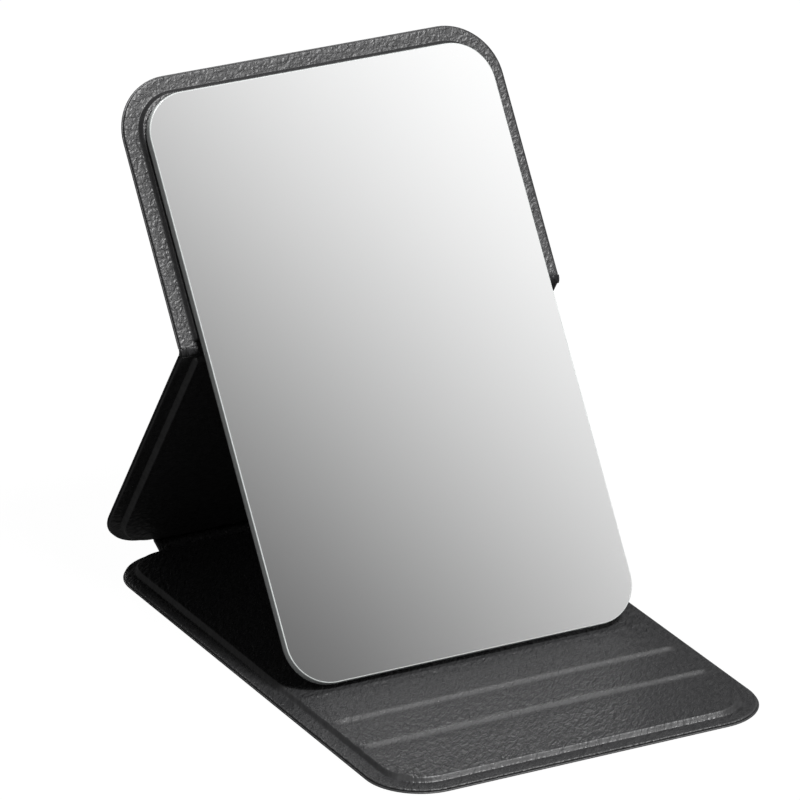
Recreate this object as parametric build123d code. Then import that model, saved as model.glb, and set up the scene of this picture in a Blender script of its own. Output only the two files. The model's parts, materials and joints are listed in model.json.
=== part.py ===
from build123d import *
import math
import os

# Folding stand mirror: a leather-covered case opened into a stand.
# Row frame: millimetres, +Z up, the glass faces -Y, the table is z = 0 and the origin sits
# under the middle of the whole part.

# ---------------------------------------------------------------- driving dimensions
CASE_WIDTH = 126.0        # across the stand, every leaf
BASE_LENGTH = 187.2       # front edge of the base to the hinge at its back
SKIN = 0.65               # outer covering
LINING = 0.65             # inner covering
BOARD = 1.5               # stiff board inside each leaf
LINING_INSET = 0.4        # the lining stops short of the outer covering's edge

SIDE_MARGIN = 5.2         # coverings bonded together, free edges
HINGE_MARGIN = 1.6        # the same beside a hinge
HINGE_GAP = 1.0           # covering starts this far from a hinge line
CORNER_RADIUS = 17.5      # rounded corners of a leaf
BOARD_RADIUS = 13.0       # rounded corners of its padded field
CREASE_RADIUS = 0.8       # corners beside the crease are nearly square
STEP_ROUND = 0.6          # rounding over the board's edge

SPINE_WIDTH = 86.6
HINGE_HEIGHT = SKIN       # the back hinge of the base lies between its coverings

GLASS_WIDTH = 114.0
GLASS_HEIGHT = 179.1
GLASS = 2.8
SILVER = 0.05
FILM = 0.15
GLASS_CORNER = 13.0
GLASS_ARRIS = 0.3
TAPE = 0.7
TAPE_WIDTH = 14.0
TAPE_LENGTH = 62.0
TAPE_COUNT = 4
TAPE_PITCH = 27.0

MIRROR_TILT = 56.6        # glass above the horizontal
CREASE_UP_GLASS = 104.0   # crease line above the bottom of the glass, along the glass
CARRIER_LENGTH = 81.8     # crease line to the top edge of the carrier
FOOT_CLEAR = 3.4          # lowest edge of the mirror above the table
FOOT_BACK = 114.2         # lowest edge of the mirror in front of the back hinge

STOP_FIRST = 118.2        # first stop, in front of the back hinge
STOP_PITCH = 18.5
STOP_COUNT = 3
STOP_RISE = 0.35
STOP_HALF_LENGTH = 56.0
STOP_BACK_SLOPE = 5.0
STOP_FRONT_SLOPE = 1.6

# ---------------------------------------------------------------- derived layout
LEAF = SKIN + BOARD + LINING
FOOT_OFFSET = LEAF + TAPE - SKIN
LINK = math.hypot(CREASE_UP_GLASS, FOOT_OFFSET)
LEG_TILT = MIRROR_TILT - math.degrees(math.atan2(FOOT_OFFSET, CREASE_UP_GLASS))
LEG_RUN = LINK * math.cos(math.radians(LEG_TILT))
LEG_RISE = LINK * math.sin(math.radians(LEG_TILT))

LEG_HINGE_BACK = 2 * LEG_RUN - FOOT_BACK
REAR_REACH = (
    LEG_HINGE_BACK
    - HINGE_GAP * math.cos(math.radians(LEG_TILT))
    + SKIN * math.sin(math.radians(LEG_TILT))
)
BACK_HINGE_Y = (BASE_LENGTH - REAR_REACH) / 2
LEG_HINGE_Y = BACK_HINGE_Y + LEG_HINGE_BACK
CREASE_Y = LEG_HINGE_Y - LEG_RUN
CREASE_Z = FOOT_CLEAR + LEG_RISE
SPINE_TILT = math.degrees(math.atan2(FOOT_CLEAR - HINGE_HEIGHT, LEG_HINGE_BACK))
SPINE_LENGTH = math.hypot(LEG_HINGE_BACK, FOOT_CLEAR - HINGE_HEIGHT)


def leaf_plane(y, z, tilt, flip=False):
    """Working plane of a leaf: hinge line at (y, z), leaf running up at the tilt.

    Local y runs away from the hinge, local z points to the lining side and
    z = 0 is the outer face of the leaf.
    """
    a = math.radians(tilt)
    along = Vector(0, math.cos(a), math.sin(a))
    inward = Vector(0, -math.sin(a), math.cos(a))
    if flip:
        inward = inward * -1
    origin = Vector(0, y, z) - inward * SKIN
    return Plane(origin=origin, x_dir=along.cross(inward), z_dir=inward)


def outline(width, start, end, near_radius, far_radius):
    """Flat face from start to end along the leaf, with its own radius at each end."""
    half = width / 2
    face = Pos(0, (start + end) / 2) * Rectangle(width, end - start)
    near = [v for v in face.vertices() if v.Y < start + 0.01 and abs(v.X) > half - 0.01]
    face = fillet(near, near_radius)
    far = [v for v in face.vertices() if v.Y > end - 0.01 and abs(v.X) > half - 0.01]
    return fillet(far, far_radius)


def slab(face, bottom, thickness):
    return extrude(Pos(0, 0, bottom) * face, amount=thickness)


def leaf(start, end, near_margin, far_margin, near_radii, far_radii):
    """Outer skin, board and lining of one leaf, lying flat in its own plane."""
    skin_face = outline(CASE_WIDTH, start, end, near_radii[0], far_radii[0])
    lining_face = outline(
        CASE_WIDTH - 2 * LINING_INSET,
        start + LINING_INSET / 2,
        end - LINING_INSET / 2,
        near_radii[0],
        far_radii[0],
    )
    field = outline(
        CASE_WIDTH - 2 * SIDE_MARGIN,
        start + near_margin,
        end - far_margin,
        near_radii[1],
        far_radii[1],
    )
    core = outline(
        CASE_WIDTH - 2 * (SIDE_MARGIN + LINING),
        start + near_margin + LINING,
        end - far_margin - LINING,
        max(near_radii[1] - LINING, 0.3),
        max(far_radii[1] - LINING, 0.3),
    )
    skin = slab(skin_face, 0, SKIN)
    board = slab(core, SKIN, BOARD)
    pad = slab(field, SKIN, BOARD + LINING)
    pad = fillet(pad.edges().group_by(Axis.Z)[-1], STEP_ROUND)
    lining = slab(lining_face, SKIN, LINING) + pad - board
    return skin, board, lining


def stop_strip(distance, lift):
    """Ridge across the base: long slope behind the crest, short slope in front."""
    section = Polyline(
        (distance - STOP_BACK_SLOPE, lift - 0.1),
        (distance - STOP_BACK_SLOPE, lift),
        (distance - 0.5, lift + STOP_RISE),
        (distance + 0.3, lift + STOP_RISE),
        (distance + STOP_FRONT_SLOPE, lift),
        (distance + STOP_FRONT_SLOPE, lift - 0.1),
        close=True,
    )
    face = Plane.YZ.offset(-STOP_HALF_LENGTH) * make_face(section)
    return extrude(face, amount=2 * STOP_HALF_LENGTH)


parts = {}

# ---------------------------------------------------------------- base: the leaf on the table
base_plane = leaf_plane(BACK_HINGE_Y, HINGE_HEIGHT, 180.0, flip=True)
skin, board, lining = leaf(
    HINGE_GAP,
    BASE_LENGTH,
    HINGE_MARGIN,
    SIDE_MARGIN,
    (CORNER_RADIUS, BOARD_RADIUS),
    (CORNER_RADIUS, BOARD_RADIUS),
)
for i in range(STOP_COUNT):
    distance = STOP_FIRST + i * STOP_PITCH
    strip = stop_strip(distance, SKIN + BOARD) - board
    lining = lining + stop_strip(distance, LEAF) - strip
    parts[f"base_stop_strip_{i + 1}"] = base_plane * strip
parts["base_outer_skin"] = base_plane * skin
parts["base_board"] = base_plane * board
parts["base_lining"] = base_plane * lining

# ---------------------------------------------------------------- spine: narrow strip behind it
spine_plane = leaf_plane(BACK_HINGE_Y, HINGE_HEIGHT, SPINE_TILT)
spine_face = Pos(0, SPINE_LENGTH / 2) * Rectangle(SPINE_WIDTH, SPINE_LENGTH - 2 * HINGE_GAP)
parts["spine_outer_skin"] = spine_plane * slab(spine_face, 0, SKIN)
parts["spine_lining"] = spine_plane * slab(spine_face, SKIN, LINING)

# ---------------------------------------------------------------- leg: lower half of the back
leg_plane = leaf_plane(LEG_HINGE_Y, FOOT_CLEAR, 180.0 - LEG_TILT)
skin, board, lining = leaf(
    HINGE_GAP,
    LINK - HINGE_GAP,
    HINGE_MARGIN,
    HINGE_MARGIN,
    (CORNER_RADIUS, BOARD_RADIUS),
    (CREASE_RADIUS, CREASE_RADIUS),
)
parts["leg_outer_skin"] = leg_plane * skin
parts["leg_board"] = leg_plane * board
parts["leg_lining"] = leg_plane * lining

# ---------------------------------------------------------------- carrier: holds the mirror
carrier_plane = leaf_plane(CREASE_Y, CREASE_Z, MIRROR_TILT)
skin, board, lining = leaf(
    HINGE_GAP,
    CARRIER_LENGTH,
    HINGE_MARGIN,
    SIDE_MARGIN,
    (CREASE_RADIUS, CREASE_RADIUS),
    (CORNER_RADIUS, BOARD_RADIUS),
)
parts["carrier_outer_skin"] = carrier_plane * skin
parts["carrier_board"] = carrier_plane * board
parts["carrier_lining"] = carrier_plane * lining

# ---------------------------------------------------------------- mirror, taped to the carrier
glass_top = GLASS_HEIGHT - CREASE_UP_GLASS
tape_middle = HINGE_GAP + HINGE_MARGIN + 3.0 + TAPE_LENGTH / 2
for i in range(TAPE_COUNT):
    x = (i - (TAPE_COUNT - 1) / 2) * TAPE_PITCH
    tape_face = Pos(x, tape_middle) * Rectangle(TAPE_WIDTH, TAPE_LENGTH)
    parts[f"mirror_tape_{i + 1}"] = carrier_plane * slab(tape_face, LEAF, TAPE)

glass_face = outline(GLASS_WIDTH, -CREASE_UP_GLASS, glass_top, GLASS_CORNER, GLASS_CORNER)
film_bottom = LEAF + TAPE
parts["mirror_backing_film"] = carrier_plane * slab(glass_face, film_bottom, FILM)
parts["mirror_silvering"] = carrier_plane * slab(glass_face, film_bottom + FILM, SILVER)
glass = slab(glass_face, film_bottom + FILM + SILVER, GLASS)
glass = chamfer(glass.edges().group_by(Axis.Z)[-1], GLASS_ARRIS)
parts["mirror_glass"] = carrier_plane * glass

os.makedirs("parts", exist_ok=True)
for name, part in parts.items():
    export_step(part, f"parts/{name}.step")
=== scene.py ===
import json
import math

import bmesh
import bpy
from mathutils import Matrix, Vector, noise
from mathutils.geometry import delaunay_2d_cdt


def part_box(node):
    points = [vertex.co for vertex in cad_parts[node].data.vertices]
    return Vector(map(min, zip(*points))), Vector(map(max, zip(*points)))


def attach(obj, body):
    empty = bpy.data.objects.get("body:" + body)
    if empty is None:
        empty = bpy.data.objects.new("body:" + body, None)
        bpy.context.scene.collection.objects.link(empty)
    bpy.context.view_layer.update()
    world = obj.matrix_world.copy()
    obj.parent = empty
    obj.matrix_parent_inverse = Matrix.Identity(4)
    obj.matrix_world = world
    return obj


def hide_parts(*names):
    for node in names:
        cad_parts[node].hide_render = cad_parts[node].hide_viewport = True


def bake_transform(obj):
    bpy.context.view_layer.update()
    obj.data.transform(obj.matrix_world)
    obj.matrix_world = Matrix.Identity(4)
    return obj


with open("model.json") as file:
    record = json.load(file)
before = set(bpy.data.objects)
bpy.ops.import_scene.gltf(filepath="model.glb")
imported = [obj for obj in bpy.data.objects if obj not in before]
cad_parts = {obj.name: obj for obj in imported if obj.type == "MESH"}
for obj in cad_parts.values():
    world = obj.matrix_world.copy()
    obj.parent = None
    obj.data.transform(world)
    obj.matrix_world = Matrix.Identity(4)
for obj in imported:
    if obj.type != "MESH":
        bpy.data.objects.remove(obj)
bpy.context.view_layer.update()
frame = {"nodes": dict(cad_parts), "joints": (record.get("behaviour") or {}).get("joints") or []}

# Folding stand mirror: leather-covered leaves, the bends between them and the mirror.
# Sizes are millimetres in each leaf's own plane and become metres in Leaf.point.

MM = 0.001

# ---------------------------------------------------------------- sizes, as in the CAD part
CASE_WIDTH = 126.0
SKIN = 0.65
LINING = 0.65
BOARD = 1.5
LEAF = SKIN + BOARD + LINING
FLANGE = SKIN + LINING
LINING_INSET = 0.4
SIDE_MARGIN = 5.2
HINGE_MARGIN = 1.6
HINGE_GAP = 1.0
CORNER_RADIUS = 17.5
FIELD_RADIUS = 13.0
CREASE_RADIUS = 0.8
SPINE_WIDTH = 86.6
TAPE = 0.7
BACKING = 0.2
GLASS = 2.8
GLASS_WIDTH = 114.0
GLASS_HEIGHT = 179.1
GLASS_CORNER = 13.0
CREASE_UP_GLASS = 104.0
CARRIER_LENGTH = 81.8
BASE_LENGTH = 187.2
STOP_FIRST = 118.2
STOP_PITCH = 18.5
STOP_COUNT = 3

# ---------------------------------------------------------------- visible form of the coverings
STOP_RISE = 0.42          # height of a ridge above the padded field
STOP_BACK_SLOPE = 2.4
STOP_FRONT_SLOPE = 1.6
STOP_END_INSET = 0.4      # a ridge ends this far inside the field's sides
STOP_END_RUN = 1.2        # and rises to full height over this length
STOP_RUN_ON = 1.2         # its fine rows go this far past its front
STOP_CLEAR = 0.5          # and the coarse rows stay this far from them
STEP_OUT = 0.55           # foot of the step over the board's edge, outside the field's line
STEP_IN = 0.72            # head of the same step, inside it
FIELD_WAVE = 0.05         # unevenness of the padded field
BORDER_WAVE = 0.04        # the same for the bonded border and the outer face
LONG_WAVE = 23.0
SHORT_WAVE = 9.0
FACE_EASE = 8.0           # the outer face's unevenness fades over this width
MIDDLE_INSET = 0.9        # middle of a face, inside the step or border round it
GAP = 0.02                # air between a covering and the board or covering under it

STOP_PAINTED_HIGHLIGHT = 0.85          # painted highlight: paler leather on the ridges, standing in for their lit slopes
STOP_HIGHLIGHT_SHIFT = 0.4
STOP_HIGHLIGHT_REACH = 2.2
RIM_PAINTED_HIGHLIGHT = 0.25           # painted highlight on the outer rim
SHOULDER_PAINTED_HIGHLIGHT = 0.15      # painted highlight on the step
SHOULDER_MIDDLE = 0.15
SHOULDER_REACH = 0.6
SHOULDER_PLATEAU = 1.4    # above 1, so that the middle of the step has it in full

# Rings of a lining down the step: millimetres inside the field's line.
STEP_RINGS = (1.1, 0.72, 0.62, 0.5, 0.38, 0.26, 0.14, 0.02, -0.1, -0.22, -0.34, -0.45, -0.55)
# Rings from there over the border and round its edge: share of the way in, height.
BORDER_RINGS = (
    (0.86, FLANGE),
    (0.82, FLANGE),
    (0.6, FLANGE),
    (0.3, FLANGE + 0.01),
    (0.13, FLANGE + 0.02),
    (0.07, FLANGE - 0.01),
    (0.035, FLANGE - 0.08),
    (0.012, FLANGE - 0.2),
    (0.0, FLANGE - 0.36),
    (0.0, SKIN + GAP),
)
# Inner face of an outer covering: inset at its edges and beside its hinge.
SKIN_TOP_INSET = (0.5, 0.02)
# Rings of an outer covering from its inner face round the edge to its outer face.
SKIN_RINGS = (
    (0.06, SKIN),
    (0.035, SKIN - 0.02),
    (0.012, SKIN - 0.1),
    (0.0, SKIN - 0.22),
    (0.0, 0.32),
    (0.015, 0.2),
    (0.045, 0.13),
    (0.1, 0.11),
    (0.5, 0.11),
    (0.85, 0.1),
    (0.94, 0.06),
    (1.0, 0.02),
)
# Ground arris of the glass: inset and depth below the face.
ARRIS_FACE = 0.32
ARRIS_RINGS = ((0.2, 0.05), (0.09, 0.14), (0.02, 0.26), (0.0, 0.4))
SPINE_EDGE = ((0.06, 0.03), (0.0, 0.1))
SPINE_FACE_INSET = 0.3

BEND_OVERLAP = 0.25       # a bend reaches this far under the leaves it joins
BEND_THINNING = 0.015
BEND_STEPS = 14
BEND_COLUMNS = 24

joint_at = {j["name"]: Vector(j["pos_m"]) for j in frame["joints"]}
BACK_HINGE = joint_at["cover_hinge"]
LEG_HINGE = joint_at["leg_hinge"]
CREASE = joint_at["back_crease"]
LEG_LENGTH = (CREASE - LEG_HINGE).length / MM

# Mesh density: millimetres between points along a side, along an end, over a face and
# across a ridge, and the steps round a corner.
EDGE_STEP = 0.7
END_STEP = 2.5 * EDGE_STEP
FIELD_STEP = 2.2
STOP_STEP = 0.4
ARC_COUNT = 18
# Steps of the other rings: along a side, along an end, round a corner.
STRIP_COUNTS = (8, 60, 3)
GLASS_COUNTS = (60, 40, 24)


# ---------------------------------------------------------------- leaves
class Leaf:
    """A leaf's own plane: y runs away from its hinge line, z from its outer face inwards."""

    def __init__(self, body, hinge, along, inward, start, end, near, far, near_r, far_r):
        self.body = body
        self.hinge = hinge
        self.along = along.normalized()
        self.inward = inward.normalized()
        self.across = self.along.cross(self.inward)
        self.start = start
        self.end = end
        self.near_margin = near
        self.far_margin = far
        self.near_radii = near_r
        self.far_radii = far_r

    def point(self, x, y, z):
        local = self.across * x + self.along * y + self.inward * (z - SKIN)
        return self.hinge + local * MM

    def outline(self, inset=0.0, near_inset=0.0):
        """Half width, start, end and corner radii of the leaf's edge."""
        return (
            CASE_WIDTH / 2 - inset,
            self.start + near_inset,
            self.end - inset,
            max(self.near_radii[0] - inset, 0.2),
            max(self.far_radii[0] - inset, 0.2),
        )

    def field(self, inset=0.0):
        """The same for the padded field over the board."""
        return (
            CASE_WIDTH / 2 - SIDE_MARGIN - inset,
            self.start + self.near_margin + inset,
            self.end - self.far_margin - inset,
            max(self.near_radii[1] - inset, 0.15),
            max(self.far_radii[1] - inset, 0.15),
        )


def leaf_inward(along, toward):
    """Normal of a leaf, square to the X axis and to its own run, on the given side."""
    normal = Vector((1, 0, 0)).cross(along)
    return normal if normal.dot(toward) > 0 else -normal


silver_low, silver_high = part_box("mirror_silvering")
mirror_up = Vector((0, silver_high[1] - silver_low[1], silver_high[2] - silver_low[2]))
leg_up = CREASE - LEG_HINGE
spine_up = LEG_HINGE - BACK_HINGE
FRONT_UP = Vector((0, -1, 0.6))

base = Leaf(
    "base", BACK_HINGE, Vector((0, -1, 0)), Vector((0, 0, 1)),
    HINGE_GAP, BASE_LENGTH, HINGE_MARGIN, SIDE_MARGIN,
    (CORNER_RADIUS, FIELD_RADIUS), (CORNER_RADIUS, FIELD_RADIUS),
)
leg = Leaf(
    "leg", LEG_HINGE, leg_up, leaf_inward(leg_up, Vector((0, -1, -1))),
    HINGE_GAP, LEG_LENGTH - HINGE_GAP, HINGE_MARGIN, HINGE_MARGIN,
    (CORNER_RADIUS, FIELD_RADIUS), (CREASE_RADIUS, CREASE_RADIUS),
)
carrier = Leaf(
    "carrier", CREASE, mirror_up, leaf_inward(mirror_up, FRONT_UP),
    HINGE_GAP, CARRIER_LENGTH, HINGE_MARGIN, SIDE_MARGIN,
    (CREASE_RADIUS, CREASE_RADIUS), (CORNER_RADIUS, FIELD_RADIUS),
)
spine = Leaf(
    "spine", BACK_HINGE, spine_up, leaf_inward(spine_up, Vector((0, 0, 1))),
    HINGE_GAP, spine_up.length / MM - HINGE_GAP, 0, 0,
    (CREASE_RADIUS, CREASE_RADIUS), (CREASE_RADIUS, CREASE_RADIUS),
)


# ---------------------------------------------------------------- mesh building
def mix(a, b, t):
    return tuple(p + (q - p) * t for p, q in zip(a, b))


def ring(shape, counts):
    """Counter-clockwise points of a rounded rectangle, always the same number for the same counts."""
    half, start, end, near, far = shape
    side_count, end_count, arc_count = counts
    corners = [
        (half - near, start + near, near, -90),
        (half - far, end - far, far, 0),
        (-half + far, end - far, far, 90),
        (-half + near, start + near, near, 180),
    ]
    points = []
    for k, (cx, cy, radius, first) in enumerate(corners):
        for i in range(arc_count + 1):
            a = math.radians(first + 90 * i / arc_count)
            points.append((cx + radius * math.cos(a), cy + radius * math.sin(a)))
        nx, ny, next_radius, next_first = corners[(k + 1) % 4]
        a = math.radians(next_first)
        goal = (nx + next_radius * math.cos(a), ny + next_radius * math.sin(a))
        here = points[-1]
        steps = side_count if k % 2 == 0 else end_count
        for i in range(1, steps):
            points.append(mix(here, goal, i / steps))
    return points


def ring_counts(leaf):
    return int((leaf.end - leaf.start) / EDGE_STEP), int(CASE_WIDTH / END_STEP), ARC_COUNT


def grid_inside(shape, rows, step):
    """Grid points inside a rounded rectangle, clear of its edge."""
    half, start, end, near, far = shape
    clear = 0.5 * step
    columns = int(2 * half / step)
    points = []
    for y in rows:
        if not start + clear < y < end - clear:
            continue
        reach = half
        for radius, gap in ((near, y - start), (far, end - y)):
            if gap < radius:
                reach = min(reach, half - radius + math.sqrt(radius**2 - (radius - gap) ** 2))
        for i in range(columns + 1):
            x = -half + 2 * half * i / columns
            if abs(x) < reach - clear:
                points.append((x, y))
    return points


class Solid:
    """A closed mesh made of rings joined by quads and filled at both ends."""

    def __init__(self, leaf):
        self.leaf = leaf
        self.bm = bmesh.new()
        # Per-vertex share of the pale tone laid on as painted highlight on the ridges, outer rim and
        # step.
        self.painted_highlight = self.bm.verts.layers.float.new("painted_highlight")
        self.stretch = self.bm.verts.layers.float.new("stretch")
        self.last = None

    def add_ring(self, points, heights, painted_highlight=0.0, stretch=0.0):
        place = self.leaf.point
        verts = [self.bm.verts.new(place(x, y, z)) for (x, y), z in zip(points, heights)]
        for vert in verts:
            vert[self.painted_highlight] = painted_highlight
            vert[self.stretch] = stretch
        if self.last:
            n = len(verts)
            for i in range(n):
                j = (i + 1) % n
                self.bm.faces.new((self.last[i], verts[i], verts[j], self.last[j]))
        self.last = verts
        return verts

    def cap(self, verts, points, extra, height, flip, painted_highlight=None):
        """Triangles across a ring, through extra points whose height is a function of x and y."""
        n = len(verts)
        flat = [Vector(p) for p in points] + [Vector(p) for p in extra]
        loop = [(i, (i + 1) % n) for i in range(n)]
        out, _, faces, origin, _, _ = delaunay_2d_cdt(flat, loop, [], 1, 1e-6)
        made = []
        for co, sources in zip(out, origin):
            first = [s for s in sources if s < n]
            if first:
                made.append(verts[first[0]])
            else:
                vert = self.bm.verts.new(self.leaf.point(co.x, co.y, height(co.x, co.y)))
                # new points take the painted highlight of the ridges
                vert[self.painted_highlight] = painted_highlight(co.x, co.y) if painted_highlight else 0.0
                made.append(vert)
        for face in faces:
            corners = [made[i] for i in face]
            if len(set(corners)) == 3:
                self.bm.faces.new(corners[::-1] if flip else corners)

    def finish(self, name, materials):
        bmesh.ops.recalc_face_normals(self.bm, faces=self.bm.faces)
        return new_object(name, self.bm, materials)


def new_object(name, bm, materials):
    mesh = bpy.data.meshes.new(name)
    bm.to_mesh(mesh)
    bm.free()
    for polygon in mesh.polygons:
        polygon.use_smooth = True
    for material in materials:
        mesh.materials.append(material)
    piece = bpy.data.objects.new(name, mesh)
    bpy.context.scene.collection.objects.link(piece)
    return piece


def smooth(t):
    t = min(max(t, 0.0), 1.0)
    return t * t * (3 - 2 * t)


def wave(leaf, x, y, amount):
    """Slow unevenness of a bonded covering, the same on every run."""
    p = leaf.point(x, y, 0) / MM
    return amount * (noise.noise(p / LONG_WAVE) + 0.5 * noise.noise(p / SHORT_WAVE))


def stop_rise(x, y):
    """Height that the stop strips add to the base lining."""
    total = 0.0
    for i in range(STOP_COUNT):
        d = y - (STOP_FIRST + i * STOP_PITCH)
        if d < 0:
            total += STOP_RISE * smooth(1 + d / STOP_BACK_SLOPE)
        else:
            total += STOP_RISE * smooth(1 - d / STOP_FRONT_SLOPE)
    return total * stop_ends(x)


def stop_ends(x):
    """The stop strips run out just inside the padded field's sides."""
    edge = CASE_WIDTH / 2 - SIDE_MARGIN - STOP_END_INSET
    return smooth((edge - abs(x)) / STOP_END_RUN)


def stop_painted_highlight(x, y):
    """Painted highlight: paler leather on the ridges in front of the glass; the first one is under its
    edge.
    """
    most = 0.0
    for i in range(1, STOP_COUNT):
        d = y - (STOP_FIRST + i * STOP_PITCH) - STOP_HIGHLIGHT_SHIFT
        most = max(most, smooth(1 - abs(d) / STOP_HIGHLIGHT_REACH))
    return STOP_PAINTED_HIGHLIGHT * most * stop_ends(x)


# ---------------------------------------------------------------- coverings
def step_height(s):
    """Height of the lining across the board's edge, s millimetres inside the field's line."""
    return FLANGE + (LEAF - FLANGE) * smooth((s + STEP_OUT) / (STEP_OUT + STEP_IN))


def shoulder_stretch(s):
    """Stretched, smoother leather where it turns over the board's edge."""
    return smooth(SHOULDER_PLATEAU - abs(s - SHOULDER_MIDDLE) / SHOULDER_REACH)


def build_lining(leaf, name, extra_height, painted_highlight, rows):
    """Inner covering: rounded edge, flat bonded border, step over the board, padded field."""
    counts = ring_counts(leaf)
    outline = leaf.outline(LINING_INSET, LINING_INSET / 2)
    field = leaf.field()
    solid = Solid(leaf)

    def on_field(x, y):
        return LEAF + extra_height(x, y) + wave(leaf, x, y, FIELD_WAVE)

    inner_shape = leaf.field(STEP_IN + MIDDLE_INSET)
    inner = ring(inner_shape, counts)
    top = solid.add_ring(inner, [on_field(x, y) for x, y in inner])
    # field points take the ridges' painted highlight
    solid.cap(top, inner, grid_inside(inner_shape, rows, FIELD_STEP), on_field, False, painted_highlight)
    solid.last = top
    for s in STEP_RINGS:
        shape = leaf.field(s) if s > 0 else mix(field, outline, -s / (SIDE_MARGIN - LINING_INSET))
        points = ring(shape, counts)
        share = (step_height(s) - FLANGE) / (LEAF - FLANGE)
        heights = []
        for x, y in points:
            bump = extra_height(x, y) + wave(leaf, x, y, FIELD_WAVE)
            heights.append(step_height(s) + share * bump)
        stretch = shoulder_stretch(s)
        # painted highlight: the step takes a share of the pale tone
        solid.add_ring(points, heights, SHOULDER_PAINTED_HIGHLIGHT * stretch, stretch)
    for t, z in BORDER_RINGS:
        points = ring(mix(outline, field, t), counts)
        lift = BORDER_WAVE if 0.05 < t else 0.0
        # painted highlight along the outer rim, which also smooths its grain
        highlight_paint = RIM_PAINTED_HIGHLIGHT if 0.01 < t < 0.08 else 0.0
        solid.add_ring(points, [z + wave(leaf, x, y, lift) for x, y in points], highlight_paint, highlight_paint)
    pocket = ring(leaf.field(LINING), counts)
    solid.add_ring(pocket, [SKIN + GAP] * len(pocket))
    roof = solid.add_ring(pocket, [SKIN + BOARD + GAP / 2] * len(pocket))
    solid.cap(roof, pocket, [], None, True)
    return solid.finish(name, [inner_leathers[leaf.body]])


def build_skin(leaf, name):
    """Outer covering: flat against the board, drawn in a little round its border."""
    counts = ring_counts(leaf)
    outline = leaf.outline()
    field = leaf.field()
    solid = Solid(leaf)
    top_points = ring(leaf.outline(*SKIN_TOP_INSET), counts)
    top = solid.add_ring(top_points, [SKIN] * len(top_points))
    solid.cap(top, top_points, [], None, False)
    solid.last = top
    for t, z in SKIN_RINGS:
        points = ring(mix(outline, field, t), counts)
        solid.add_ring(points, [z] * len(points))
    shape = leaf.field(MIDDLE_INSET)
    points = ring(shape, counts)
    rows = spread(leaf.start, leaf.end, 2 * FIELD_STEP)

    def outer_face(x, y):
        depth = min(
            CASE_WIDTH / 2 - SIDE_MARGIN - abs(x),
            y - leaf.start - leaf.near_margin,
            leaf.end - leaf.far_margin - y,
        )
        return max(0.0, wave(leaf, x, y, BORDER_WAVE)) * smooth(depth / FACE_EASE)

    bottom = solid.add_ring(points, [0.0] * len(points))
    solid.cap(bottom, points, grid_inside(shape, rows, 2 * FIELD_STEP), outer_face, True)
    return solid.finish(name, [outer_leather])


def spread(first, last, step):
    count = int((last - first) / step)
    return [first + (last - first) * i / count for i in range(count + 1)]


def stop_rows():
    rows = spread(base.start, base.end, FIELD_STEP)
    for i in range(STOP_COUNT):
        crest = STOP_FIRST + i * STOP_PITCH
        near = crest - STOP_BACK_SLOPE
        far = crest + STOP_FRONT_SLOPE + STOP_RUN_ON
        rows = [y for y in rows if not near - STOP_CLEAR < y < far + STOP_CLEAR]
        rows += spread(near, far, STOP_STEP) + [crest]
    return sorted(set(rows))


def no_height(x, y):
    return 0.0


# ---------------------------------------------------------------- bends and spine
def build_bend(name, hinge, before, after, before_inward, width):
    """Covering round a hinge line, a circular arc from one leaf's direction to the next."""
    reach = HINGE_GAP + BEND_OVERLAP
    half_thickness = FLANGE / 2 - BEND_THINNING
    turn = before.angle(after)
    radius = reach / math.tan(turn / 2)
    side = 1 if after.dot(before_inward) > 0 else -1
    normal = before_inward.normalized() * side
    forward = before.normalized()
    centre = hinge - forward * reach * MM + normal * radius * MM
    bm = bmesh.new()
    rows = []
    for c in range(BEND_COLUMNS + 1):
        x = width * (c / BEND_COLUMNS - 0.5)
        row = []
        for edge in (1, -1):
            for i in range(BEND_STEPS + 1)[::edge]:
                a = turn * i / BEND_STEPS
                out = -normal * math.cos(a) + forward * math.sin(a)
                r = radius + edge * half_thickness
                p = centre + out * r * MM
                row.append(bm.verts.new((x * MM, p.y, p.z)))
        rows.append(row)
    n = len(rows[0])
    for one, two in zip(rows, rows[1:]):
        for i in range(n):
            j = (i + 1) % n
            bm.faces.new((one[i], one[j], two[j], two[i]))
    bm.faces.new(rows[0])
    bm.faces.new(rows[-1][::-1])
    bmesh.ops.recalc_face_normals(bm, faces=bm.faces)
    piece = new_object(name, bm, [lining_leather])
    start = hinge - forward * HINGE_GAP * MM
    end = hinge + after.normalized() * HINGE_GAP * MM
    return piece, start, end


def build_strip(leaf, name, bottom, top, material):
    """One layer of the spine, between its two bends."""
    solid = Solid(leaf)

    def outline(inset, radius):
        return ring((SPINE_WIDTH / 2 - inset, leaf.start, leaf.end, radius, radius), STRIP_COUNTS)

    face = outline(SPINE_FACE_INSET, 0.1)
    first = solid.add_ring(face, [top] * len(face))
    solid.cap(first, face, [], None, False)
    solid.last = first
    for inset, below in SPINE_EDGE:
        solid.add_ring(outline(inset, 0.2), [top - below] * len(face))
    for inset, above in SPINE_EDGE[::-1]:
        solid.add_ring(outline(inset, 0.2), [bottom + above] * len(face))
    last = solid.add_ring(face, [bottom] * len(face))
    solid.cap(last, face, [], None, True)
    return solid.finish(name, [material])


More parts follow.
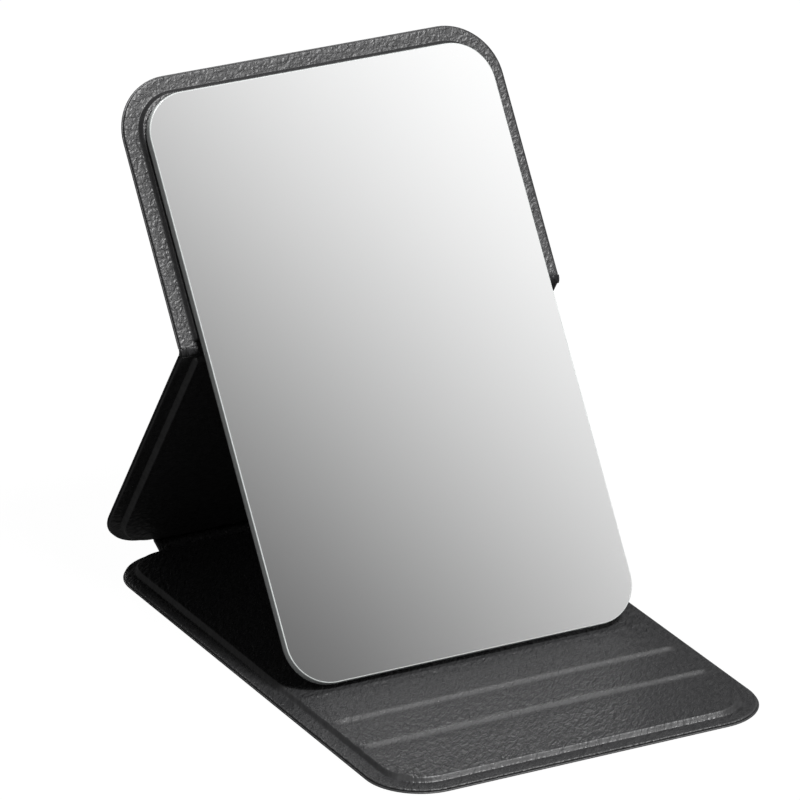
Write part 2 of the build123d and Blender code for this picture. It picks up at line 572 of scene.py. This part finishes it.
# ---------------------------------------------------------------- glass
def build_glass():
    """Pane with a polished arris round both faces; faces carry the mirror, edges the cut glass."""
    top = GLASS_HEIGHT - CREASE_UP_GLASS
    bottom_z = LEAF + TAPE + BACKING
    front_z = bottom_z + GLASS
    solid = Solid(carrier)

    def shape(inset):
        return (
            GLASS_WIDTH / 2 - inset, -CREASE_UP_GLASS + inset, top - inset,
            GLASS_CORNER - inset, GLASS_CORNER - inset,
        )

    points = ring(shape(ARRIS_FACE), GLASS_COUNTS)
    front = solid.add_ring(points, [front_z] * len(points))
    solid.cap(front, points, [], None, False)
    face_count = len(solid.bm.faces)
    solid.last = front
    for inset, below in ARRIS_RINGS:
        points = ring(shape(inset), GLASS_COUNTS)
        solid.add_ring(points, [front_z - below] * len(points))
    for inset, above in (*ARRIS_RINGS[::-1], (ARRIS_FACE, 0.0)):
        points = ring(shape(inset), GLASS_COUNTS)
        solid.add_ring(points, [bottom_z + above] * len(points))
    solid.cap(solid.last, points, [], None, True)
    solid.bm.faces.ensure_lookup_table()
    for i, face in enumerate(solid.bm.faces):
        face.material_index = 0 if i < face_count else 1
    piece = solid.finish("glass_pane", [mirror_face, glass_edge])
    for polygon in piece.data.polygons:
        if polygon.material_index == 0:
            polygon.use_smooth = False
    return piece


# ---------------------------------------------------------------- materials
def new_material(name):
    material = bpy.data.materials.new(name)
    material.use_nodes = True
    tree = material.node_tree
    shader = tree.nodes["Principled BSDF"]
    return material, tree, shader


def add_node(tree, kind, **values):
    node = tree.nodes.new(kind)
    for key, value in values.items():
        if hasattr(node, key):
            setattr(node, key, value)
        else:
            node.inputs[key.replace("_", " ").title()].default_value = value
    return node


def object_coords(tree, scale=(1, 1, 1), turn=(0, 0, 0)):
    coords = tree.nodes.new("ShaderNodeTexCoord")
    mapping = tree.nodes.new("ShaderNodeMapping")
    mapping.vector_type = "TEXTURE"
    mapping.inputs["Scale"].default_value = scale
    mapping.inputs["Rotation"].default_value = turn
    tree.links.new(coords.outputs["Object"], mapping.inputs["Vector"])
    return mapping.outputs["Vector"]


def ramp(tree, value, low, high, first, last):
    """Maps value from low..high to first..last."""
    node = tree.nodes.new("ShaderNodeMapRange")
    node.inputs["From Min"].default_value = low
    node.inputs["From Max"].default_value = high
    node.inputs["To Min"].default_value = first
    node.inputs["To Max"].default_value = last
    tree.links.new(value, node.inputs["Value"])
    return node.outputs["Result"]


def two_tone(tree, factor, first, second):
    """Colour between two tones; the first may be a colour output of another node."""
    node = tree.nodes.new("ShaderNodeMix")
    node.data_type = "RGBA"
    if isinstance(first, tuple):
        node.inputs[6].default_value = (*first, 1)
    else:
        tree.links.new(first, node.inputs[6])
    node.inputs[7].default_value = (*second, 1)
    tree.links.new(factor, node.inputs["Factor"])
    return node.outputs[2]


def mesh_value(tree, name):
    node = tree.nodes.new("ShaderNodeAttribute")
    node.attribute_name = name
    return node.outputs["Fac"]


WRINKLE_SCALE = 900.0
WRINKLE_BEND = 0.55
PEBBLE_SCALE = 1600.0
PEBBLE_DRAW = 1.8
PEBBLE_SHARE = 0.22       # height of the pebbles as a share of the wrinkles' height
STRETCHED_GRAIN = 0.25    # grain left where the leather is stretched


def leather(name, dark, light, highlight_tone, rough_low, rough_high, grain_depth, lean, draw):
    """Leather-look sheet: wrinkles drawn out along one direction over a fine pebbled grain."""
    material, tree, shader = new_material(name)
    links = tree.links
    turn = (0.0, 0.0, math.radians(lean))
    wrinkle = add_node(
        tree, "ShaderNodeTexNoise", scale=WRINKLE_SCALE, detail=1.0, distortion=WRINKLE_BEND
    )
    links.new(object_coords(tree, (1.0, draw, draw), turn), wrinkle.inputs["Vector"])
    cells = add_node(tree, "ShaderNodeTexVoronoi", feature="SMOOTH_F1", scale=PEBBLE_SCALE)
    links.new(object_coords(tree, (1.0, PEBBLE_DRAW, PEBBLE_DRAW), turn), cells.inputs["Vector"])
    pebble = ramp(tree, cells.outputs["Distance"], 0.1, 0.8, 1.0, 0.0)
    fold = ramp(tree, wrinkle.outputs["Fac"], 0.3, 0.7, 0.0, 1.0)
    height = tree.nodes.new("ShaderNodeMath")
    height.operation = "MULTIPLY_ADD"
    links.new(pebble, height.inputs[0])
    height.inputs[1].default_value = PEBBLE_SHARE
    links.new(fold, height.inputs[2])
    bump = tree.nodes.new("ShaderNodeBump")
    bump.inputs["Distance"].default_value = grain_depth * MM
    stretched = mesh_value(tree, "stretch")
    links.new(ramp(tree, stretched, 0.0, 1.0, 1.0, STRETCHED_GRAIN), bump.inputs["Strength"])
    links.new(height.outputs[0], bump.inputs["Height"])
    links.new(bump.outputs["Normal"], shader.inputs["Normal"])
    tone = two_tone(tree, fold, dark, light)
    # pale tone where the mesh asks for it: painted highlight on ridges, rim and step
    links.new(two_tone(tree, mesh_value(tree, "painted_highlight"), tone, highlight_tone), shader.inputs["Base Color"])
    links.new(ramp(tree, fold, 0.0, 1.0, rough_high, rough_low), shader.inputs["Roughness"])
    return material


def board_material():
    """Grey fibre board with short dark and pale fibres."""
    material, tree, shader = new_material("greyboard_fibre")
    fibres = add_node(tree, "ShaderNodeTexNoise", scale=900.0, detail=6.0)
    tree.links.new(object_coords(tree, (3, 1, 1)), fibres.inputs["Vector"])
    tone = two_tone(tree, fibres.outputs["Fac"], (0.30, 0.28, 0.25), (0.50, 0.48, 0.44))
    tree.links.new(tone, shader.inputs["Base Color"])
    shader.inputs["Roughness"].default_value = 0.9
    return material


def tape_material():
    """Pale foam with tiny cells."""
    material, tree, shader = new_material("foam_tape_cells")
    cells = add_node(tree, "ShaderNodeTexVoronoi", scale=4000.0)
    tree.links.new(object_coords(tree), cells.inputs["Vector"])
    tone = two_tone(tree, cells.outputs["Distance"], (0.62, 0.62, 0.60), (0.80, 0.80, 0.78))
    tree.links.new(tone, shader.inputs["Base Color"])
    shader.inputs["Roughness"].default_value = 0.8
    return material


def film_material():
    """Grey protective paint and film on the back of the mirror."""
    material, tree, shader = new_material("mirror_back_paint")
    orange_peel = add_node(tree, "ShaderNodeTexNoise", scale=700.0, detail=3.0)
    tree.links.new(object_coords(tree), orange_peel.inputs["Vector"])
    tone = two_tone(tree, orange_peel.outputs["Fac"], (0.10, 0.105, 0.115), (0.14, 0.145, 0.155))
    tree.links.new(tone, shader.inputs["Base Color"])
    bump = tree.nodes.new("ShaderNodeBump")
    bump.inputs["Distance"].default_value = 0.01 * MM
    tree.links.new(orange_peel.outputs["Fac"], bump.inputs["Height"])
    tree.links.new(bump.outputs["Normal"], shader.inputs["Normal"])
    shader.inputs["Roughness"].default_value = 0.5
    return material


def mirror_material():
    """Silvered glass, nearly clean: a trace of haze changes its sharpness."""
    material, tree, shader = new_material("mirror_face")
    haze = add_node(tree, "ShaderNodeTexNoise", scale=18.0, detail=3.0)
    tree.links.new(object_coords(tree), haze.inputs["Vector"])
    tone = two_tone(tree, haze.outputs["Fac"], (0.90, 0.905, 0.905), (0.925, 0.925, 0.925))
    tree.links.new(tone, shader.inputs["Base Color"])
    tree.links.new(ramp(tree, haze.outputs["Fac"], 0.3, 0.7, 0.015, 0.035), shader.inputs["Roughness"])
    shader.inputs["Metallic"].default_value = 1.0
    return material


def edge_material():
    """Cut edge of the glass: grey-green, finely ground; its tone is the ground glass's own pale colour,
    made paler still as painted light for the light the edge catches.
    """
    material, tree, shader = new_material("glass_cut_edge")
    grind = add_node(tree, "ShaderNodeTexNoise", scale=1500.0, detail=4.0)
    tree.links.new(object_coords(tree, (1, 1, 5)), grind.inputs["Vector"])
    # partly the ground edge's own tone, partly painted light
    tone = two_tone(tree, grind.outputs["Fac"], (0.50, 0.52, 0.515), (0.70, 0.73, 0.72))
    tree.links.new(tone, shader.inputs["Base Color"])
    tree.links.new(ramp(tree, grind.outputs["Fac"], 0.3, 0.7, 0.18, 0.32), shader.inputs["Roughness"])
    return material


# third tone of each leather: the pale colour of its painted highlights
lining_leather = leather(
    "lining_leather", (0.020, 0.020, 0.021), (0.034, 0.034, 0.035), (0.084, 0.084, 0.085),
    rough_low=0.36, rough_high=0.43, grain_depth=0.34, lean=-38, draw=2.5,
)
# Leg lining: the same leather made lighter, as painted light standing in for fill on its shaded inner
# face.
leg_leather_painted_fill = leather(
    "leg_lining_leather", (0.036, 0.036, 0.037), (0.058, 0.058, 0.059), (0.060, 0.060, 0.061),
    rough_low=0.36, rough_high=0.44, grain_depth=0.15, lean=85, draw=1.9,
)
carrier_leather = leather(
    "carrier_lining_leather", (0.017, 0.017, 0.018), (0.029, 0.029, 0.030), (0.040, 0.040, 0.041),
    rough_low=0.36, rough_high=0.47, grain_depth=0.12, lean=-65, draw=1.2,
)
outer_leather = leather(
    "outer_leather", (0.030, 0.030, 0.031), (0.046, 0.046, 0.047), (0.08, 0.08, 0.08),
    rough_low=0.38, rough_high=0.50, grain_depth=0.06, lean=-20, draw=1.9,
)
inner_leathers = {"base": lining_leather, "leg": leg_leather_painted_fill, "carrier": carrier_leather}
mirror_face = mirror_material()
glass_edge = edge_material()
hidden_materials = {
    "board": board_material(),
    "strip": board_material(),
    "tape": tape_material(),
    "film": film_material(),
    "silvering": mirror_face,
}

# ---------------------------------------------------------------- coverings, spine and glass on their bodies; bends fixed where built
plain_rows = {leaf: spread(leaf.start, leaf.end, FIELD_STEP) for leaf in (leg, carrier)}
plain_rows[base] = stop_rows()
for leaf in (base, leg, carrier):
    lift = stop_rise if leaf is base else no_height
    # painted highlight on the base's ridges
    highlight_paint = stop_painted_highlight if leaf is base else no_height
    lining = build_lining(leaf, f"{leaf.body}_lining_leather", lift, highlight_paint, plain_rows[leaf])
    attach(lining, leaf.body)
    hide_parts(f"{leaf.body}_lining")
    skin = build_skin(leaf, f"{leaf.body}_outer_leather")
    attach(skin, leaf.body)
    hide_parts(f"{leaf.body}_outer_skin")

spine_lining = build_strip(spine, "spine_lining_leather", SKIN, FLANGE, lining_leather)
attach(spine_lining, "spine")
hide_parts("spine_lining")
spine_skin = build_strip(spine, "spine_outer_leather", 0.0, SKIN, outer_leather)
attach(spine_skin, "spine")
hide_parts("spine_outer_skin")

bends = (
    ("base_bend", BACK_HINGE, Vector((0, 1, 0)), spine_up, base.inward, SPINE_WIDTH, "base", "spine"),
    ("leg_bend", LEG_HINGE, spine_up, leg_up, spine.inward, SPINE_WIDTH, "spine", "leg"),
    ("crease_bend", CREASE, leg_up, mirror_up, leg.inward, CASE_WIDTH - LINING_INSET, "leg", "carrier"),
)
for name, hinge, before, after, inward, width, first, second in bends:
    piece, start, end = build_bend(name, hinge, before, after, inward, width)
    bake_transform(piece)

pane = build_glass()
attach(pane, "carrier")
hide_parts("mirror_glass")

for name, node in frame["nodes"].items():
    for word, material in hidden_materials.items():
        if word in name:
            node.data.materials.clear()
            node.data.materials.append(material)


# ---------------------------------------------------------------- stage, light and camera
def emission(name, strength):
    material = bpy.data.materials.new(name)
    material.use_nodes = True
    tree = material.node_tree
    tree.nodes.clear()
    out = tree.nodes.new("ShaderNodeOutputMaterial")
    glow = tree.nodes.new("ShaderNodeEmission")
    glow.inputs["Color"].default_value = (1, 1, 1, 1)
    glow.inputs["Strength"].default_value = strength
    tree.links.new(glow.outputs[0], out.inputs["Surface"])
    return material, tree, glow, out


def plane_object(name, centre, x_axis, y_axis, width, height, material):
    half_x = x_axis.normalized() * width / 2
    half_y = y_axis.normalized() * height / 2
    corners = [
        centre - half_x - half_y, centre + half_x - half_y,
        centre + half_x + half_y, centre - half_x + half_y,
    ]
    mesh = bpy.data.meshes.new(name)
    mesh.from_pydata([tuple(c) for c in corners], [], [(0, 1, 2, 3)])
    uv = mesh.uv_layers.new(name="UVMap")
    for loop, at in zip(uv.data, ((0, 0), (1, 0), (1, 1), (0, 1))):
        loop.uv = at
    mesh.materials.append(material)
    piece = bpy.data.objects.new(name, mesh)
    bpy.context.scene.collection.objects.link(piece)
    return piece


def around(azimuth, elevation, distance):
    """A point seen from the object at a bearing from the front towards its right, in degrees."""
    a = math.radians(azimuth)
    e = math.radians(elevation)
    return Vector((math.sin(a) * math.cos(e), -math.cos(a) * math.cos(e), math.sin(e))) * distance


CAMERA_AZIMUTH = -28.03
CAMERA_ELEVATION = 22.53
CAMERA_DISTANCE = 2.2789
LENS = 351.0
SENSOR = 36.0
TARGET = Vector((-0.0019, 0.0155, 0.0700))
back = around(CAMERA_AZIMUTH, CAMERA_ELEVATION, 1.0)
camera_data = bpy.data.cameras.new("camera")
camera_data.lens = LENS
camera_data.sensor_width = SENSOR
camera_data.clip_end = 100.0
camera = bpy.data.objects.new("camera", camera_data)
camera.location = TARGET + back * CAMERA_DISTANCE
camera.rotation_euler = (-back).to_track_quat("-Z", "Y").to_euler()
bpy.context.scene.collection.objects.link(camera)
bpy.context.scene.camera = camera


FLOOR_GLOW = 0.985
FLOOR_SHADE = 0.02
FLOOR_SIZE = 40.0
FLOOR_DROP = 0.2 * MM     # the floor lies this far under the part


def floor_material():
    """White table: mostly self-lit, with a little real shading so that contact shadows stay soft."""
    material, tree, glow, out = emission("floor_white", FLOOR_GLOW)
    cloth = tree.nodes.new("ShaderNodeBsdfDiffuse")
    cloth.inputs["Color"].default_value = (FLOOR_SHADE, FLOOR_SHADE, FLOOR_SHADE, 1)
    both = tree.nodes.new("ShaderNodeAddShader")
    tree.links.new(glow.outputs[0], both.inputs[0])
    tree.links.new(cloth.outputs[0], both.inputs[1])
    tree.links.new(both.outputs[0], out.inputs["Surface"])
    return material


floor = plane_object(
    "floor", Vector((0, 0, -FLOOR_DROP)), Vector((1, 0, 0)), Vector((0, 1, 0)),
    FLOOR_SIZE, FLOOR_SIZE, floor_material(),
)
floor.visible_diffuse = False
floor.visible_glossy = False


CARD_WIDTH = 0.17
CARD_HEIGHT = 0.262
CARD_DISTANCE = 0.7
CARD_LEAN = 34.0          # direction of the card's gradient above its own horizontal
CARD_BLEND = 0.156        # half the length of the gradient, in metres
CARD_DARK = 0.105
CARD_BRIGHT = 1.165


def gradient_card():
    """Studio card that the mirror reflects: white at its upper right, falling to grey."""
    n = carrier.inward
    seen = (-back - n * 2 * (-back).dot(n)).normalized()
    glass_middle = carrier.point(0, GLASS_HEIGHT / 2 - CREASE_UP_GLASS, LEAF)
    centre = glass_middle + seen * CARD_DISTANCE
    x_axis = Vector((1, 0, 0)) - seen * seen.x
    y_axis = seen.cross(x_axis)
    if y_axis.z < 0:
        y_axis = -y_axis
    material, tree, glow, _ = emission("card_gradient", 1.0)
    coords = tree.nodes.new("ShaderNodeTexCoord")
    split = tree.nodes.new("ShaderNodeSeparateXYZ")
    tree.links.new(coords.outputs["UV"], split.inputs[0])
    lean = math.radians(CARD_LEAN)
    half_run = CARD_WIDTH / 2 * math.cos(lean)
    half_rise = CARD_HEIGHT / 2 * math.sin(lean)
    across = ramp(tree, split.outputs[0], 0.0, 1.0, -half_run, half_run)
    upward = ramp(tree, split.outputs[1], 0.0, 1.0, -half_rise, half_rise)
    total = tree.nodes.new("ShaderNodeMath")
    total.operation = "ADD"
    tree.links.new(across, total.inputs[0])
    tree.links.new(upward, total.inputs[1])
    level = ramp(tree, total.outputs[0], -CARD_BLEND, CARD_BLEND, CARD_DARK, CARD_BRIGHT)
    level.node.interpolation_type = "SMOOTHSTEP"
    tree.links.new(level, glow.inputs["Strength"])
    card = plane_object("card", centre, x_axis, y_axis, CARD_WIDTH, CARD_HEIGHT, material)
    card.visible_camera = False


gradient_card()

WORLD_LIGHT = 0.085
world = bpy.data.worlds.new("studio")
world.use_nodes = True
world.node_tree.nodes["Background"].inputs["Color"].default_value = (1, 1, 1, 1)
world.node_tree.nodes["Background"].inputs["Strength"].default_value = WORLD_LIGHT
bpy.context.scene.world = world


def lamp(name, at, aim, power, size=None, angle=None):
    """A round area lamp of the given size, or a sun of the given angle across."""
    data = bpy.data.lights.new(name, "AREA" if size else "SUN")
    data.energy = power
    if size:
        data.shape = "DISK"
        data.size = size
    else:
        data.angle = math.radians(angle)
    lamp_object = bpy.data.objects.new(name, data)
    lamp_object.location = at
    lamp_object.rotation_euler = (aim - at).to_track_quat("-Z", "Y").to_euler()
    lamp_object.visible_camera = False
    bpy.context.scene.collection.objects.link(lamp_object)


middle = Vector((0, 0, 0.06))
lamp("key", around(15, 62, 2.0), Vector((0, 0, 0)), 4.1, angle=12)
lamp("front", middle + around(28, 31, 1.2), middle, 4.2, size=0.4)
lamp("overhead", middle + around(50, 50, 1.2), middle, 2.1, size=0.4)
lamp("glint", middle + around(95, 64, 1.1), middle, 0.06, size=0.22)
lamp("left", middle + around(-75, 22, 0.9), middle, 0.6, size=0.3)
lamp("back", middle + around(180, 34, 1.2), middle, 3.0, size=0.2)

bpy.context.scene.view_settings.view_transform = "Standard"
bpy.context.scene.view_settings.look = "None"
